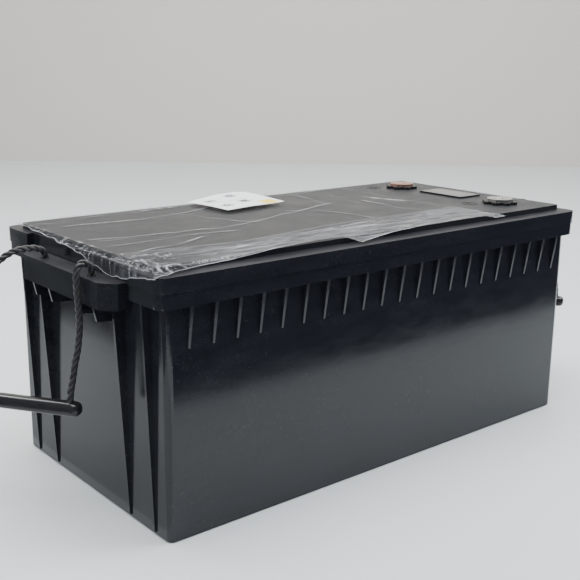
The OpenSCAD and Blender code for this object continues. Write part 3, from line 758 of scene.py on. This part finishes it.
def make_label():
    count = 48
    left, near, right, far = [Vector(p) for p in LABEL]

    def spot(a, b):
        """a runs from the near corner to the right one, b from the near corner to the left one."""
        p = near * (1 - a) * (1 - b) + right * a * (1 - b) + left * (1 - a) * b + far * a * b
        curl = 2.4 * math.sin(math.pi * a) * (0.35 + 0.65 * b) + 1.1 * (2 * a - 1) ** 2 * (1 - b)
        wave = 0.5 * math.sin(2 * math.pi * (a * 0.8 + b * 0.6))
        return Vector((p.x, p.y, p.z + curl + wave)) * MM

    points = [spot(i / count, j / count) for j in range(count + 1) for i in range(count + 1)]
    faces, kinds = [], []
    for j in range(count):
        for i in range(count):
            at = j * (count + 1) + i
            faces.append((at, at + 1, at + count + 2, at + count + 1))
            kinds.append(mark_at((i + 0.5) / count, (j + 0.5) / count))
    paper = new_mesh("label_paper", points, faces)
    for material in (MATERIALS["label_paper"], MARK_INK, MARK_GREY, MARK_YELLOW):
        paper.data.materials.append(material)
    for polygon, kind in zip(paper.data.polygons, kinds):
        polygon.material_index = kind
    thick = paper.modifiers.new("thickness", "SOLIDIFY")
    thick.thickness = 0.15 * MM
    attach(paper, "case")
    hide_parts("label_sheet")


def mark_at(a, b):
    """What is printed at a place on the paper, plain blocks only: 0 nothing, 1 dark, 2 grey, 3 yellow."""
    if a > 0.7 and b < 0.30:
        return 3 if b > 0.02 and a < 0.93 else 0
    for ca, cb in BLOCKS:
        da, db = abs(a - ca), abs(b - cb)
        if max(da, db) < 0.075:
            frame_line = max(da, db) > 0.055
            bar = min(da, db) < 0.014 or 0.022 < min(da, db) < 0.036
            return 1 if frame_line or bar else 0
        if db < 0.012 and 0.09 < da < 0.17:
            return 2
    if abs(b - 0.55) < 0.011 and 0.1 < a < 0.72:
        return 2
    return 0


# ---------------------------------------------------------------- terminal threads


def make_threads():
    """A fine helical ridge inside each terminal's bore."""
    pitch, depth, per_turn = 1.25 * MM, 13 * MM, 32
    helix_r, ridge_r, ridge_sides = 3.38 * MM, 0.42 * MM, 5
    for node, slot in (("positive_terminal_post", "copper"), ("negative_terminal_post", "tin_plate")):
        low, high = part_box(node)
        centre = (low + high) / 2
        turns = int(depth / pitch)
        t = np.linspace(0, turns, turns * per_turn)
        line = np.stack(
            [
                centre.x + helix_r * np.cos(2 * math.pi * t),
                centre.y + helix_r * np.sin(2 * math.pi * t),
                high.z - 0.5 * MM - t * pitch,
            ],
            axis=1,
        )
        points, faces = tube(line, ridge_r, ridge_sides, (0, 0, 1))
        thread = new_mesh(node.replace("post", "thread"), points, faces, smooth=False)
        give(thread, MATERIALS[slot])
        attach(thread, "case")


# ---------------------------------------------------------------- stage


def make_stage():
    floor_look = Nodes("floor")
    cloud = floor_look.noise(3, 3, 0.5)
    floor_look.finish(
        Base_Color=floor_look.mix(cloud, (0.60, 0.645, 0.665), (0.66, 0.70, 0.715)),
        Roughness=0.42,
    )
    wall_look = Nodes("wall")
    wall_look.finish(Base_Color=(0.60, 0.565, 0.52, 1), Roughness=0.9)
    bpy.ops.mesh.primitive_plane_add(size=6, location=(0, 0, 0))
    floor = bpy.context.object
    floor.name = "floor"
    give(floor, floor_look.material)
    bpy.ops.mesh.primitive_plane_add(size=7, location=(1.4, 1.9, 1.5), rotation=(math.pi / 2, 0, -YAW))
    wall = bpy.context.object
    wall.name = "backdrop"
    give(wall, wall_look.material)


def area_light(name, at, towards, size, power, colour):
    data = bpy.data.lights.new(name, "AREA")
    data.shape = "RECTANGLE"
    data.size, data.size_y = size
    data.energy = power
    data.color = colour
    light = bpy.data.objects.new(name, data)
    light.location = at
    light.rotation_euler = (Vector(towards) - Vector(at)).to_track_quat("-Z", "Y").to_euler()
    bpy.context.collection.objects.link(light)


def make_lights():
    area_light("overhead", (-0.3, 0.2, 2.4), (0, 0, 0.1), (2.2, 1.8), 88, (1, 0.985, 0.96))
    area_light("window", (-2.4, -0.6, 1.5), (0, 0, 0.2), (1.4, 1.6), 20, (0.92, 0.96, 1))
    area_light("edge", (1.25, -0.55, 1.75), (0.1, -0.1, 0.2), (1.3, 0.7), 46, (0.95, 0.97, 1))
    area_light("end_edge", (-0.55, 1.35, 1.3), (-0.25, 0, 0.2), (0.8, 0.5), 14, (0.97, 0.98, 1))
    world = bpy.data.worlds.new("world")
    world.use_nodes = True
    world.node_tree.nodes["Background"].inputs["Color"].default_value = (0.62, 0.64, 0.66, 1)
    world.node_tree.nodes["Background"].inputs["Strength"].default_value = 1.15
    bpy.context.scene.world = world


def dark_flag(name, at, size, rotation, colour, alpha=1.0):
    """A studio flag that only reflections see: it stands for the dark room past the table's edge."""
    bpy.ops.mesh.primitive_plane_add(size=1, location=at, rotation=rotation)
    flag = bpy.context.object
    flag.name = name
    flag.scale = (*size, 1)
    for ray in ("camera", "diffuse", "shadow", "transmission", "volume_scatter"):
        setattr(flag, "visible_" + ray, False)
    look = Nodes(name)
    look.finish(Base_Color=(*colour, 1), Roughness=1.0, Specular_IOR_Level=0.0, Alpha=alpha)
    give(flag, look.material)
    return flag


def make_flags():
    height, upright = 0.45, math.pi / 2
    navy, olive = (0.006, 0.008, 0.016), (0.06, 0.062, 0.055)
    dark_flag("front_flag", (0.25, -0.385, height / 2), (1.5, height), (upright, 0, 0), navy)
    dark_flag("left_flag", (-0.485, 0.15, height / 2), (1.1, height), (upright, 0, upright), olive)
    dark_flag("left_floor_flag", (-0.40, 0.3, 0.002), (0.28, 1.2), (0, 0, 0), olive, 0.35)


# ---------------------------------------------------------------- build

make_camera()
handle_rope("left_front_rope", "left_rope_front", FRONT_ROUTE, False)
handle_rope("left_back_rope", "left_rope_back", BACK_ROUTE, False)
handle_rope("right_front_rope", "right_rope_front", BACK_ROUTE, True)
handle_rope("right_back_rope", "right_rope_back", FRONT_ROUTE, True)
rope_knots("left_knots", "left_rope_knots")
rope_knots("right_knots", "right_rope_knots")
grip("left_grip_round", "left_grip", "left_handle", False)
grip("right_grip_round", "right_grip", "right_handle", True)
dress_cad_nodes()
make_film()
make_label()
make_threads()
make_stage()
make_lights()
make_flags()
